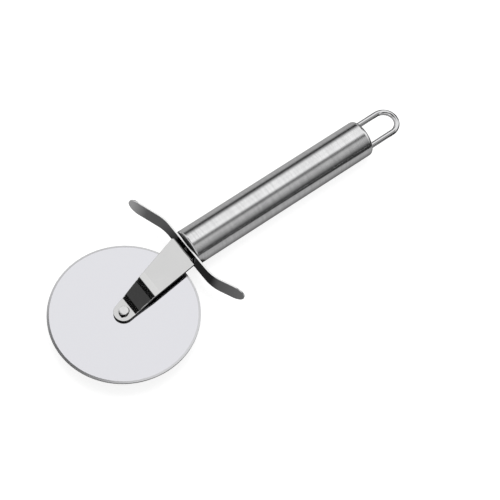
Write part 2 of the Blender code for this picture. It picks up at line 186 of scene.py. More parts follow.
# The same in a lane of panels and gaps across the tent, which gives the handle its dark lines.
# The lane's place is along the handle, where -1 is the wheel's side and 1 the loop's.
LANE = {"low": 0.15, "high": 0.56, "soft": 0.06}
LANE_STOPS = [
    (0, 0.42), (12, 0.24), (17, 0.02), (25, 0.02), (33, 0.18), (44, 0.70), (52, 0.93),
    (60, 1.0), (94, 0.97), (98, 0.82), (103, 0.40), (108, 0.18), (112, 0.10), (116, 0.18),
    (122, 0.42), (131, 0.49), (140, 0.42), (150, 0.33), (159, 0.20), (166, 0.10), (172, 0.04),
    (180, 0.01),
]
# The flag over the ramp: its angle, and its greys by place
RAMP_FLAG = {"low": 59, "high": 77, "soft": 4}
RAMP_FLAG_STOPS = [
    (-1.0, 1.0), (-0.80, 1.0), (-0.70, 0.08), (-0.02, 0.08), (0.01, 0.004), (0.11, 0.004),
    (0.15, 1.0), (0.42, 1.0), (0.60, 0.74), (1.0, 0.80),
]
# The two flags that darken the rivet's foot and the loop: the share of light that each takes
# away, its angle and its place
FLAGS = [
    (0.94, {"low": 77, "high": 124, "soft": 5}, {"low": -0.62, "high": -0.16, "soft": 0.05}),
    (0.94, {"low": 100, "high": 150, "soft": 6}, {"low": -0.45, "high": -0.10, "soft": 0.05}),
]
# The flag beyond the handle's end: its share, and where it begins by place and ends by angle
END_FLAG = 0.97
END_FLAG_PLACE = (0.70, 0.78)
END_FLAG_ANGLE = (58, 66)

# Heights of the cards that only reflections see, one layer over the next
LOW_CARD_Z = 0.10 * MM
MIDDLE_CARD_Z = 0.15 * MM
TOP_CARD_Z = 0.20 * MM

wheel_face_z = WHEEL_THICKNESS / 2
tab_middle_z = wheel_face_z + TAB_GAP + ARM_THICKNESS / 2
tab_face_z = wheel_face_z + TAB_GAP + ARM_THICKNESS
plate_middle_z = ARM_FACE_Z - ARM_THICKNESS / 2
rivet_front_seat_z = tab_face_z + SEAT_GAP
rivet_back_seat_z = -wheel_face_z - 2 * SEAT_GAP - WASHER_THICKNESS
wheel_hole_radius = RIVET_SHANK_DIAMETER / 2 + RUNNING_GAP
guard_x = FLANGE_X + SEAT_GAP + GUARD_THICKNESS / 2
guard_tip_y = GUARD_UPPER_TIP_Y - GUARD_TIP_TRIM
sheen_strip_end = ARM_FOLD_X + SHEEN_STRIP_WIDTH


class Level:
    """A number or colour that changes over a surface. Sums and products add their own nodes."""

    def __init__(self, finish, socket):
        self.finish = finish
        self.socket = socket

    def __add__(self, other):
        return self.finish.maths("ADD", self, other)

    def __sub__(self, other):
        return self.finish.maths("SUBTRACT", self, other)

    def __mul__(self, other):
        return self.finish.maths("MULTIPLY", self, other)

    def __truediv__(self, other):
        return self.finish.maths("DIVIDE", self, other)

    def __radd__(self, other):
        return self.finish.maths("ADD", other, self)

    def __rsub__(self, other):
        return self.finish.maths("SUBTRACT", other, self)

    def __rmul__(self, other):
        return self.finish.maths("MULTIPLY", other, self)

    def __pow__(self, other):
        return self.finish.maths("POWER", self, other)

    def spread(self, low, high):
        """The share of the way from low to high, eased and held at both ends."""
        settings = {"interpolation_type": "SMOOTHSTEP"}
        return self.finish.node("ShaderNodeMapRange", settings, {
            "Value": self, "From Min": low, "From Max": high})

    def between(self, low, high, soft):
        """1 from low to high, falling to 0 over a soft border outside them."""
        return self.spread(low - soft, low) * (1 - self.spread(high, high + soft))


class Finish:
    """A node tree for one finish. It makes nodes and ends in the sockets of its shader."""

    def __init__(self, tree):
        self.tree = tree
        tree.nodes.clear()

    def node(self, kind, settings=None, inputs=None, output=0):
        made = self.tree.nodes.new(kind)
        for name, value in (settings or {}).items():
            if name == "stops":
                self.set_stops(made.color_ramp, value)
            else:
                setattr(made, name, value)
        for name, value in (inputs or {}).items():
            if isinstance(value, Level):
                self.tree.links.new(value.socket, made.inputs[name])
            else:
                made.inputs[name].default_value = value
        return Level(self, made.outputs[output])

    def set_stops(self, ramp, stops):
        while len(ramp.elements) < len(stops):
            ramp.elements.new(1.0)
        for element, (place, grey) in zip(ramp.elements, stops):
            element.position = place
            element.color = (grey, grey, grey, 1.0)

    def maths(self, operation, first, second):
        return self.node("ShaderNodeMath", {"operation": operation}, {0: first, 1: second})

    def where(self, kind="Object"):
        """The point of the surface, measured from its own piece's origin."""
        return self.node("ShaderNodeTexCoord", output=kind)

    def axes(self, vector):
        """The three numbers of a vector."""
        split = self.node("ShaderNodeSeparateXYZ", inputs={0: vector}).socket.node
        return [Level(self, output) for output in split.outputs]

    def vector(self, x, y, z):
        return self.node("ShaderNodeCombineXYZ", inputs={0: x, 1: y, 2: z})

    def noise(self, vector, scale, detail=2.0, roughness=0.5):
        """Uneven greys. Three numbers as their scale draw them out along an axis."""
        if isinstance(scale, tuple):
            settings = {"operation": "MULTIPLY"}
            vector = self.node("ShaderNodeVectorMath", settings, {0: vector, 1: scale})
            scale = 1.0
        return self.node("ShaderNodeTexNoise", inputs={
            "Vector": vector, "Scale": scale, "Detail": detail, "Roughness": roughness})

    def greys(self, value, stops):
        """A grey that follows its stops, each a value and a level, and is held at both ends."""
        low, high = stops[0][0], stops[-1][0]
        shares = [((place - low) / (high - low), grey) for place, grey in stops]
        along_stops = (value - low) / (high - low)
        return self.node("ShaderNodeValToRGB", {"stops": shares}, {0: along_stops})

    def blend(self, share, first, second):
        """A colour part of the way from the first to the second."""
        settings = {"data_type": "RGBA"}
        return self.node("ShaderNodeMix", settings, {
            0: share, 6: (*first, 1.0), 7: (*second, 1.0)}, output=2)

    def mixed(self, share, first, second):
        """A shader part of the way from the first to the second."""
        return self.node("ShaderNodeMixShader", inputs={0: share, 1: first, 2: second})

    def shown(self):
        """1 for the rays that show a background: the camera's, mirrors' and glass's."""
        rays = ("Is Camera Ray", "Is Glossy Ray", "Is Transmission Ray")
        camera, glossy, clear = [self.node("ShaderNodeLightPath", output=name) for name in rays]
        return camera + glossy + clear

    def bump(self, height, strength, depth):
        return self.node("ShaderNodeBump", inputs={
            "Height": height, "Strength": strength, "Distance": depth})

    def output(self, shader, kind="ShaderNodeOutputMaterial"):
        end = self.tree.nodes.new(kind)
        self.tree.links.new(shader.socket, end.inputs["Surface"])


def new_finish(name):
    material = bpy.data.materials.new(name)
    material.use_nodes = True
    return material, Finish(material.node_tree)


def finished(name, paint, fixed=STEEL):
    """A material with its fixed values, and what its paint function varies over the surface:
    colour, roughness and normal."""
    material, finish = new_finish(name)
    finish.output(finish.node("ShaderNodeBsdfPrincipled", inputs={**fixed, **paint(finish)}))
    return material


def wheel_paint(finish):
    """Mirror polish with faint rings, and a ground edge with its grinding lines."""
    place = finish.where()
    x, y, _ = finish.axes(place)
    radius = (x * x + y * y) ** 0.5
    unrolled = finish.vector(radius, finish.maths("ARCTAN2", y, x), 0.0)
    rings = finish.noise(unrolled, (9000, 2, 1), detail=3.0, roughness=0.6)
    lines = finish.noise(unrolled, (400, 260, 1))
    cloud = finish.noise(place, 60.0)
    shoulder = WHEEL_RADIUS - GROUND_WIDTH
    ground = radius.spread(shoulder, shoulder + GROUND_BORDER)
    smooth = 1 - ground
    roughness = smooth * (0.035 + rings * 0.02 + cloud * 0.02) + ground * (0.20 + lines * 0.10)
    height = smooth * rings * 0.05 + ground * lines
    return {
        "Base Color": finish.blend(ground, (0.78, 0.78, 0.815), (0.70, 0.70, 0.715)),
        "Roughness": roughness,
        "Normal": finish.bump(height, 0.06, SCRATCH_DEPTH),
    }


def arm_paint(finish):
    """Satin sheet with a fine speckle, a lighter strip of painted sheen beside the upper fold, and
    a ridge at its far border, a bump drawn brighter as a painted highlight, and a burr along the
    ramp's lower edge."""
    place = finish.where()
    x, y, _ = finish.axes(place)
    # A lighter strip of painted sheen beside the upper fold; the ridge at its far border is a real
    # bump, also drawn brighter as a painted highlight
    sheen_strip = x.between(
        ARM_FOLD_X + SHEEN_STRIP_START, sheen_strip_end - SHEEN_STRIP_BORDER / 2, SHEEN_STRIP_BORDER)
    ridge_and_sheen = x.between(sheen_strip_end, sheen_strip_end, RIDGE_AND_SHEEN_BORDER)
    inward = y - ARM_LOWER_SLOPE * x + TAB_RADIUS * math.hypot(1, ARM_LOWER_SLOPE)
    burr = inward.between(BURR_START, BURR_END, BURR_BORDER)
    burr = burr * x.between(TAB_FOLD_X + BURR_FADE, ARM_FOLD_X - BURR_FADE, BURR_FADE)
    speckle = finish.noise(place, 2600.0, detail=3.0, roughness=0.7)
    grain = finish.noise(place, (160, 5200, 5200), detail=3.0, roughness=0.6)
    cloud = finish.noise(place, 90.0)
    tone = 0.3 * speckle + 0.2 * grain + 0.25 * cloud + 0.18 * sheen_strip + 0.2 * ridge_and_sheen
    height = 0.3 * speckle + 0.3 * grain + 2.5 * ridge_and_sheen
    return {
        "Base Color": finish.blend(tone, (0.60, 0.60, 0.60), (0.78, 0.78, 0.775)),
        "Roughness": 0.07 + speckle * 0.015 + cloud * 0.015 + burr * 0.12,
        "Normal": finish.bump(height, 0.06, SCRATCH_DEPTH),
    }


def edge_shade_paint(finish):
    """Near-black painted shade on the arm's cut edges and on its flange and bend, with a torn
    texture.
    """
    tears = finish.noise(finish.where(), (3800, 3800, 700), detail=3.0, roughness=0.6)
    return {
        "Base Color": finish.blend(tears, (0.02, 0.02, 0.02), (0.07, 0.07, 0.07)),
        "Roughness": 0.32 + tears * 0.2,
        "Normal": finish.bump(tears, 0.2, PIT_DEPTH),
    }


def flange_highlight_paint(finish):
    """The flange's sides at the bend: a brighter, frosted copy of the steel, a painted highlight
    for the light that they catch.
    """
    rubs = finish.noise(finish.where(), 3000.0)
    return {
        "Base Color": finish.blend(rubs, (0.82, 0.82, 0.82), (0.94, 0.94, 0.94)),
        "Roughness": 0.42 + rubs * 0.18,
    }


def guard_paint(finish):
    """Bright rolled strip, a little duller where fingers rub it."""
    place = finish.where()
    grain = finish.noise(place, (4200, 160, 4200), detail=3.0, roughness=0.6)
    cloud = finish.noise(place, 110.0, detail=3.0)
    return {
        "Base Color": finish.blend(cloud, (0.70, 0.70, 0.71), (0.77, 0.77, 0.775)),
        "Roughness": 0.10 + grain * 0.05 + cloud * 0.08,
        "Normal": finish.bump(grain, 0.05, SCRATCH_DEPTH),
    }


def guard_edge_highlight_paint(finish):
    """The guard's narrow edges: a brighter, frosted copy of the guard's steel, a painted highlight
    for the white line that they show.
    """
    frost = finish.noise(finish.where(), 4000.0, detail=3.0, roughness=0.6)
    return {
        "Base Color": finish.blend(frost, (0.86, 0.86, 0.86), (0.96, 0.96, 0.96)),
        "Roughness": 0.10 + frost * 0.08,
    }


def tube_paint(finish):
    """Brushed round the handle: fine rings of scratches, none quite as deep as the next."""
    place = finish.where()
    fine = finish.noise(place, (170, 170, 9000), detail=4.0, roughness=0.7)
    broad = finish.noise(place, (60, 60, 900), detail=3.0, roughness=0.6)
    cloud = finish.noise(place, 45.0)
    tone = 0.35 * fine.spread(0.3, 0.7) + 0.45 * broad.spread(0.3, 0.7) + 0.2 * cloud
    return {
        "Base Color": finish.blend(tone, (0.74, 0.74, 0.745), (0.94, 0.94, 0.945)),
        "Roughness": 0.12 + fine * 0.09 + cloud * 0.03,
        "Normal": finish.bump(0.7 * fine + 0.3 * broad, 0.10, SCRATCH_DEPTH),
    }


def wire_paint(finish):
    """Drawn and polished wire with a few long draw marks."""
    place = finish.where()
    marks = finish.noise(place, (250, 2600, 2600), detail=3.0, roughness=0.6)
    cloud = finish.noise(place, 120.0)
    return {
        "Base Color": finish.blend(marks, (0.76, 0.76, 0.77), (0.82, 0.82, 0.825)),
        "Roughness": 0.025 + marks * 0.035 + cloud * 0.02,
        "Normal": finish.bump(marks, 0.05, SCRATCH_DEPTH),
    }


def rivet_paint(finish):
    """The rivet's heads: faces burnished by the press, and sides painted near black as painted
    shade for the dark gap under each head.
    """
    place = finish.where()
    z = finish.axes(place)[2]
    cloud = finish.noise(place, 700.0)
    front = rivet_front_seat_z + RIVET_HEAD_HEIGHT - RIVET_ROUND
    back = -rivet_back_seat_z + RIVET_HEAD_HEIGHT - RIVET_ROUND
    unshaded_face = z.spread(front - RIVET_FACE_BORDER, front)
    unshaded_face = unshaded_face + (0 - z).spread(back - RIVET_FACE_BORDER, back)
    # The sides stay near black: painted shade for the dark gap under each head
    tone = unshaded_face * (0.7 + 0.3 * cloud)
    return {
        "Base Color": finish.blend(tone, (0.14, 0.14, 0.14), (0.84, 0.84, 0.84)),
        "Roughness": 0.09 + cloud * 0.05,
        "Normal": finish.bump(cloud, 0.05, PIT_DEPTH),
    }


def fitting_paint(finish):
    """Small turned and pressed fittings."""
    place = finish.where()
    rings = finish.noise(place, 3000.0, detail=3.0, roughness=0.6)
    cloud = finish.noise(place, 300.0)
    return {
        "Base Color": finish.blend(cloud, (0.66, 0.66, 0.665), (0.78, 0.78, 0.78)),
        "Roughness": 0.20 + rings * 0.10 + cloud * 0.08,
        "Normal": finish.bump(rings, 0.10, SCRATCH_DEPTH),
    }


def plastic_paint(finish):
    """Black moulded plastic with a fine spark texture."""
    place = finish.where()
    spark = finish.noise(place, 2400.0, detail=3.0, roughness=0.6)
    cloud = finish.noise(place, 150.0)
    return {
        "Base Color": finish.blend(cloud, (0.010, 0.010, 0.011), (0.022, 0.022, 0.023)),
        "Roughness": 0.38 + spark * 0.14,
        "Normal": finish.bump(spark, 0.20, PIT_DEPTH),
    }


def placed(name, data):
    """A new object in the scene."""
    item = bpy.data.objects.new(name, data)
    bpy.context.scene.collection.objects.link(item)
    return item


def from_wheel_centre(x=0.0, y=0.0):
    return Matrix.Translation(WHEEL_CENTRE + Vector((x, y, 0)))


def new_piece(name, mesh, material, body, node, crease, place=from_wheel_centre()):
    """A finished piece that stands for a node of the model and rides on its body."""
    mesh.materials.clear()
    mesh.materials.append(material)
    mesh.shade_smooth()
    mesh.set_sharp_from_angle(angle=math.radians(crease))
    piece = placed(name, mesh)
    piece.matrix_world = place
    weigh = piece.modifiers.new("even_shading", "WEIGHTED_NORMAL")
    weigh.keep_sharp = True
    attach(piece, body)
    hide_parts(node)


def arc(centre, radius, start, end, steps=ROUND_STEPS):
    """Points along an arc, with angles in degrees."""
    points = []
    for i in range(steps + 1):
        angle = math.radians(start + (end - start) * i / steps)
        points.append((centre[0] + radius * math.cos(angle), centre[1] + radius * math.sin(angle)))
    return points


def turned_mesh(name, profile, sides, closed):
    """Turns (radius, height) points about Z. They run down the outer side, top to bottom."""
    mesh = bpy.data.meshes.new(name)
    points, rings, faces = [], [], []
    for radius, height in profile:
        ring = []
        for i in range(sides if radius > 0 else 1):
            angle = math.tau * i / sides
            ring.append(len(points))
            points.append((radius * math.cos(angle), radius * math.sin(angle), height))
        rings.append(ring)
    pairs = list(zip(rings, rings[1:]))
    if closed:
        pairs.append((rings[-1], rings[0]))
    for upper, lower in pairs:
        for i in range(sides):
            j = (i + 1) % sides
            if len(upper) == 1:
                faces.append((upper[0], lower[i], lower[j]))
            elif len(lower) == 1:
                faces.append((upper[i], lower[0], upper[j]))
            else:
                faces.append((upper[i], lower[i], lower[j], upper[j]))
    mesh.from_pydata(points, [], faces)
    return mesh


def fold_runs(corners, radii):
    """A path through the corners as straight runs and bends: length, start, heading, turn."""
    runs = []
    here = Vector(corners[0])
    for before, corner, after, radius in zip(corners, corners[1:], corners[2:], radii):
        corner = Vector(corner)
        arriving = (corner - Vector(before)).normalized()
        leaving = (Vector(after) - corner).normalized()
        turn = math.atan2(arriving.x * leaving.y - arriving.y * leaving.x, arriving.dot(leaving))
        cut = radius * math.tan(abs(turn) / 2)
        heading = math.atan2(arriving.y, arriving.x)
        start = corner - arriving * cut
        runs.append(((start - here).length, here, heading, 0.0))
        runs.append((radius * abs(turn), start, heading, turn))
        here = corner + leaving * cut
    last = Vector(corners[-1])
    runs.append(((last - here).length, here, math.atan2(leaving.y, leaving.x), 0.0))
    return runs


def along(runs, distance):
    """The point on a path at a distance from its start, and the side it faces there."""
    for length, start, heading, turn in runs:
        if distance <= length or (length, start, heading, turn) == runs[-1]:
            break
        distance -= length
    if turn:
        reach = length / turn
        now = heading + turn * distance / length
        step = Vector((math.sin(now) - math.sin(heading), math.cos(heading) - math.cos(now)))
        point = start + step * reach
    else:
        now = heading
        point = start + Vector((math.cos(now), math.sin(now))) * distance
    return point, Vector((-math.sin(now), math.cos(now)))


def path_length(runs):
    return sum(run[0] for run in runs)


def distance_at(runs, axis, value, end):
    """How far along a path one coordinate reaches a value, searched from its start to end."""
    low, high = 0.0, end
    rising = along(runs, high)[0][axis] > along(runs, low)[0][axis]
    for _ in range(SEARCH_STEPS):
        middle = (low + high) / 2
        if (along(runs, middle)[0][axis] < value) == rising:
            low = middle
        else:
            high = middle
    return (low + high) / 2


def flat_sheet(name, outlines, thickness, edge_round):
    """A flat sheet with rounded edges: the first outline is its border, the others are holes."""
    curve = bpy.data.curves.new(name, "CURVE")
    curve.dimensions = "2D"
    curve.fill_mode = "BOTH"
    curve.extrude = thickness / 2 - edge_round
    curve.bevel_depth = edge_round
    curve.bevel_resolution = SHEET_EDGE_STEPS
    curve.offset = -edge_round
    for outline in outlines:
        spline = curve.splines.new("POLY")
        spline.points.add(len(outline) - 1)
        for point, (u, v) in zip(spline.points, outline):
            point.co = (u, v, 0, 1)
        spline.use_cyclic_u = True
    guide = placed(name + "_flat", curve)
    bpy.context.view_layer.update()
    graph = bpy.context.evaluated_depsgraph_get()
    mesh = bpy.data.meshes.new_from_object(guide.evaluated_get(graph))
    bpy.data.objects.remove(guide, do_unlink=True)
    return mesh


def cut_sheet(shape, distance):
    """New edges across a flat sheet, so that it can bend there."""
    parts = list(shape.verts) + list(shape.edges) + list(shape.faces)
    bmesh.ops.bisect_plane(
        shape, geom=parts, dist=WELD / 10, plane_co=(distance, 0, 0), plane_no=(1, 0, 0))


def pressed_mesh(name, outlines, thickness, edge_round, runs, place):
    """Sheet cut to its flat outlines, and then folded along a path."""
    mesh = flat_sheet(name, outlines, thickness, edge_round)
    shape = bmesh.new()
    shape.from_mesh(mesh)
    bmesh.ops.remove_doubles(shape, verts=shape.verts, dist=WELD)
    done = 0.0
    for length, _, _, turn in runs:
        if turn:
            cuts = max(LEAST_FOLD_STEPS, round(abs(math.degrees(turn)) / FOLD_STEP_DEGREES))
            for i in range(cuts + 1):
                cut_sheet(shape, done + length * i / cuts)
        done += length
    for corner in shape.verts:
        point, side = along(runs, corner.co.x)
        point = point + side * corner.co.z
        corner.co = place(point, corner.co.y)
    bmesh.ops.recalc_face_normals(shape, faces=shape.faces)
    shape.to_mesh(mesh)
    shape.free()
    mesh.name = name
    return mesh


def wire_mesh(name, points, radius, sides):
    """A round wire along a path that lies in the XY plane."""
    mesh = bpy.data.meshes.new(name)
    corners, faces = [], []
    for i, point in enumerate(points):
        ahead = Vector(points[min(i + 1, len(points) - 1)])
        behind = Vector(points[max(i - 1, 0)])
        heading = (ahead - behind).normalized()
        across = Vector((-heading.y, heading.x, 0))
        for k in range(sides):
            angle = math.tau * k / sides
            corner = Vector((*point, 0)) + across * radius * math.cos(angle)
            corner.z += radius * math.sin(angle)
            corners.append(corner)
    for i in range(len(points) - 1):
        for k in range(sides):
            j = (k + 1) % sides
            here, there = i * sides, (i + 1) * sides
            faces.append((here + k, here + j, there + j, there + k))
    faces.append(tuple(range(sides))[::-1])
    faces.append(tuple(range(len(corners) - sides, len(corners))))
    mesh.from_pydata(corners, [], faces)
    return mesh


def mirrored(profile):
    """The same points on the other side of Z = 0, from last to first."""
    return [(radius, -height) for radius, height in profile[::-1]]


def make_wheel():
    shoulder = WHEEL_RADIUS - GROUND_WIDTH
    edge = wheel_face_z - GROUND_FALL
    top = [(wheel_hole_radius, wheel_face_z), (shoulder, wheel_face_z)]
    top += arc((WHEEL_RADIUS - RIM_ROUND, edge - RIM_ROUND), RIM_ROUND, 80, 0, RIM_STEPS)
    mesh = turned_mesh("wheel_blade", top + mirrored(top), WHEEL_SIDES, True)
    material = finished("wheel_mirror_steel", wheel_paint)
    new_piece(
        "wheel_blade", mesh, material, "wheel", "cutting_wheel", GROUND_CREASE)


def rivet_head(seat):
    """One head of the rivet, from its crowned middle down to its foot on the seat."""
    top = seat + RIVET_HEAD_HEIGHT
    edge = (RIVET_FACE_RADIUS - RIVET_ROUND, top - RIVET_CROWN - RIVET_ROUND)
    return [
        (0, top), (RIVET_FACE_RADIUS * 0.5, top - RIVET_CROWN * 0.3),
        *arc(edge, RIVET_ROUND, 90, 10),
        (RIVET_FOOT_RADIUS, seat + RIVET_ROUND), (RIVET_FOOT_RADIUS, seat),
    ]


def make_rivet():
    shank = RIVET_SHANK_DIAMETER / 2
    profile = rivet_head(rivet_front_seat_z)
    profile += [(shank, rivet_front_seat_z), (shank, rivet_back_seat_z)]
    profile += mirrored(rivet_head(-rivet_back_seat_z))
    mesh = turned_mesh("wheel_rivet", profile, SMALL_SIDES, False)
    material = finished("rivet_steel_painted_shade", rivet_paint)
    new_piece("wheel_rivet", mesh, material, "handle", "axle_rivet", TURNED_CREASE)


def make_washer():
    front = -wheel_face_z - SEAT_GAP
    back = front - WASHER_THICKNESS
    edge = WASHER_DIAMETER / 2 - WASHER_ROUND
    profile = [
        (wheel_hole_radius, front),
        *arc((edge, front - WASHER_ROUND), WASHER_ROUND, 90, 0),
        *arc((edge, back + WASHER_ROUND), WASHER_ROUND, 0, -90),
        (wheel_hole_radius, back),
    ]
    mesh = turned_mesh("wheel_washer", profile, SMALL_SIDES, True)
    new_piece(
        "wheel_washer", mesh, fittings, "handle", "axle_washer", TURNED_CREASE)


def arm_side(runs, start, plate_end, corner, slope):
    """One long side on the flat sheet, which is straight once the sheet is folded."""
    first = corner[0] - start
    points = []
    for i in range(1, OUTLINE_STEPS + 1):
        distance = first + (plate_end - first) * i / OUTLINE_STEPS
        x = along(runs, distance)[0].x
        points.append((distance, corner[1] + slope * (x - corner[0])))
    return points


def arm_outline(runs, start):
    """The arm's flat outline: round end, two long sides, and the narrower flange."""
    total = path_length(runs)
    high = math.degrees(math.atan(ARM_UPPER_SLOPE)) + 90
    low = math.degrees(math.atan(ARM_LOWER_SLOPE)) + 270
    round_end = arc((0, 0), TAB_RADIUS, high, low, OUTLINE_STEPS)
    plate_end = distance_at(runs, 0, PLATE_END_X, total + FLANGE_END_Z - ARM_FACE_Z)
    lower = arm_side(runs, start, plate_end, round_end[-1], ARM_LOWER_SLOPE)
    upper = arm_side(runs, start, plate_end, round_end[0], ARM_UPPER_SLOPE)
    flange_low = HANDLE_AXIS_Y - FLANGE_WIDTH / 2
    flange_top = HANDLE_AXIS_Y + FLANGE_WIDTH / 2
    corner = FLANGE_CORNER
    flange = [
        (plate_end, flange_low),
        *arc((total - corner, flange_low + corner), corner, -90, 0),
        *arc((total - corner, flange_top - corner), corner, 0, 90),
        (plate_end, flange_top),
    ]
    tab = [(-start + x, y) for x, y in round_end]
    return tab + lower + flange + upper[::-1]


def make_arm():
    start = -2 * TAB_RADIUS
    flange_middle = FLANGE_X - ARM_THICKNESS / 2
    ease = (plate_middle_z - tab_middle_z) * RAMP_EASE_SHARE
    runs = fold_runs([
        (start, tab_middle_z), (TAB_FOLD_X, tab_middle_z),
        (TAB_FOLD_X + RAMP_EASE, tab_middle_z + ease),
        (ARM_FOLD_X - RAMP_EASE, plate_middle_z - ease),
        (ARM_FOLD_X, plate_middle_z),
        (flange_middle, plate_middle_z), (flange_middle, FLANGE_END_Z),
    ], [FOLD_RADIUS] * 4 + [FLANGE_BEND_RADIUS])
    axle_hole_radius = RIVET_SHANK_DIAMETER / 2 + SEAT_GAP
    axle_hole = arc((-start, 0), axle_hole_radius, 360, 0, AXLE_HOLE_SIDES)[:-1]
    screw_centre = (path_length(runs) + FLANGE_END_Z, HANDLE_AXIS_Y)
    screw_hole_radius = SCREW_DIAMETER / 2 + SEAT_GAP
    screw_hole = arc(screw_centre, screw_hole_radius, 360, 0, SCREW_HOLE_SIDES)[:-1]
    outlines = [arm_outline(runs, start), axle_hole, screw_hole]
    mesh = pressed_mesh(
        "cranked_arm", outlines, ARM_THICKNESS, ARM_EDGE_ROUND, runs,
        lambda point, across: (point.x, across, point.y))
    material = finished("arm_satin_steel", arm_paint)
    new_piece("cranked_arm", mesh, material, "handle", "wheel_arm", SHEET_CREASE)
    # A near-black copy of the steel: painted shade on the cut edges, the flange and its bend
    mesh.materials.append(finished("arm_painted_shade", edge_shade_paint))
    # A brighter copy of the steel: painted highlight on the flange's sides
    mesh.materials.append(finished("arm_flange_painted_highlight", flange_highlight_paint))
    for face in mesh.polygons:
        outside_hole = math.hypot(face.center.x, face.center.y) > AXLE_HOLE_ZONE
        if face.center.x > PLATE_END_X + ARM_THICKNESS / 2:
            face.material_index = 1 if abs(face.normal.y) < FLANGE_SIDE_LEAN else 2
        else:
            face.material_index = int(outside_hole and abs(face.normal.z) < SHADED_EDGE_LEAN)


def make_guard():
    runs = fold_runs([
        (guard_x - GUARD_UPPER_SET, guard_tip_y), (guard_x, GUARD_UPPER_BEND_Y),
        (guard_x, GUARD_LOWER_BEND_Y), (guard_x + GUARD_LOWER_SET, GUARD_LOWER_TIP_Y),
    ], [GUARD_BEND_RADIUS] * 2)
    total = path_length(runs)
    radius = GUARD_WIDTH / 2
    tips = arc((guard_tip_y - radius, 0), radius, -90, 90, OUTLINE_STEPS)
    tips += arc((GUARD_LOWER_TIP_Y + radius, 0), radius, 90, 270, OUTLINE_STEPS)
    outline = [(distance_at(runs, 1, y, total), z) for y, z in tips]
    screw_centre = (distance_at(runs, 1, HANDLE_AXIS_Y, total), 0)
    screw_hole_radius = SCREW_DIAMETER / 2 + SEAT_GAP
    screw_hole = arc(screw_centre, screw_hole_radius, 0, 360, SCREW_HOLE_SIDES)[:-1]
    mesh = pressed_mesh(
        "bent_guard", [outline, screw_hole], GUARD_THICKNESS, GUARD_EDGE_ROUND, runs,
        lambda point, across: (point.x, point.y, across))
    material = finished("guard_bright_steel", guard_paint)
    new_piece("bent_guard", mesh, material, "handle", "finger_guard", SHEET_CREASE)
    # A brighter copy of the steel: painted highlight on the guard's edges
    mesh.materials.append(finished("guard_edge_painted_highlight", guard_edge_highlight_paint))
    for face in mesh.polygons:
        face.material_index = int(abs(face.normal.x) < GUARD_EDGE_LEAN)


def tube_profile():
    """Half of the tube's section: domed far end, outer side, turned-in lip, and the inside."""
    outer = TUBE_DIAMETER / 2
    inner = outer - TUBE_WALL
    mouth = TUBE_MOUTH_DIAMETER / 2
    lip = TUBE_LIP_RADIUS
    flat = outer - TUBE_END_RADIUS
    far = [(0, TUBE_LENGTH)]
    for share in DOME_SHARES:
        far.append((flat * share, TUBE_LENGTH - TUBE_END_DOME * share ** 2))
    corner = (flat, TUBE_LENGTH - TUBE_END_DOME - TUBE_END_RADIUS)
    far += arc(corner, TUBE_END_RADIUS, 90, 0, TUBE_END_STEPS)
    near = arc((outer - lip, lip), lip, 0, -90, LIP_STEPS)
    inside = [
        (mouth, 0), (mouth, TUBE_WALL), (inner, 2 * TUBE_WALL),
        (inner, TUBE_LENGTH - TUBE_END_RADIUS),
        (flat, TUBE_LENGTH - TUBE_END_WALL), (0, TUBE_LENGTH - TUBE_END_WALL),
    ]
    return far + near + inside


def drill_wire_holes(mesh):
    """Two holes for the loop's legs, cut through the tube's closed end."""
    tube = placed("uncut_tube", mesh)
    drills = []
    for side in (-1, 1):
        shape = bmesh.new()
        bmesh.ops.create_cone(
            shape, cap_ends=True, segments=WIRE_HOLE_SIDES, radius1=WIRE_HOLE_RADIUS,
            radius2=WIRE_HOLE_RADIUS, depth=TUBE_LENGTH / 8)
        spot = Vector((0, side * LOOP_LEG_SPACING / 2, TUBE_LENGTH))
        bmesh.ops.translate(shape, vec=spot, verts=shape.verts)
        drill = placed("drill", bpy.data.meshes.new("drill"))
        shape.to_mesh(drill.data)
        shape.free()
        drills.append(drill)
        cut = tube.modifiers.new("hole", "BOOLEAN")
        cut.object = drill
        cut.solver = "EXACT"
    graph = bpy.context.evaluated_depsgraph_get()
    drilled = bpy.data.meshes.new_from_object(tube.evaluated_get(graph))
    shape = bmesh.new()
    shape.from_mesh(drilled)
    shape.to_mesh(mesh)
    shape.free()
    for item in [tube, *drills]:
        bpy.data.objects.remove(item, do_unlink=True)


def make_tube():
    """Turned upright, and then laid along the handle's axis."""
    mesh = turned_mesh("handle_shell", tube_profile(), TUBE_SIDES, False)
    drill_wire_holes(mesh)
    material = finished("tube_brushed_steel", tube_paint, BRUSHED_STEEL)
    place = from_wheel_centre(TUBE_NEAR_X, HANDLE_AXIS_Y) @ Matrix.Rotation(math.pi / 2, 4, "Y")
    new_piece(
        "handle_shell", mesh, material, "handle", "handle_tube", SHEET_CREASE,
        place)


def make_loop():
    half = LOOP_LEG_SPACING / 2
    bend_x = LOOP_TIP_X - WIRE_DIAMETER / 2 - half
    leg = [
        LOOP_LEG_START_X + (bend_x - LOOP_LEG_START_X) * i / LEG_STEPS for i in range(LEG_STEPS)]
    points = [(x, -half) for x in leg]
    points += arc((bend_x, 0), half, -90, 90, BEND_STEPS)
    points += [(x, half) for x in leg[::-1]]
    mesh = wire_mesh("loop_wire", points, WIRE_DIAMETER / 2, WIRE_SIDES)
    material = finished("loop_polished_steel", wire_paint)
    new_piece(
        "loop_wire", mesh, material, "handle", "hanging_loop", TURNED_CREASE,
        from_wheel_centre(0.0, HANDLE_AXIS_Y))


def refinish(node, material):
    """A better finish on a solid that keeps its own shape."""
    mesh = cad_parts[node].data
    mesh.materials.clear()
    mesh.materials.append(material)


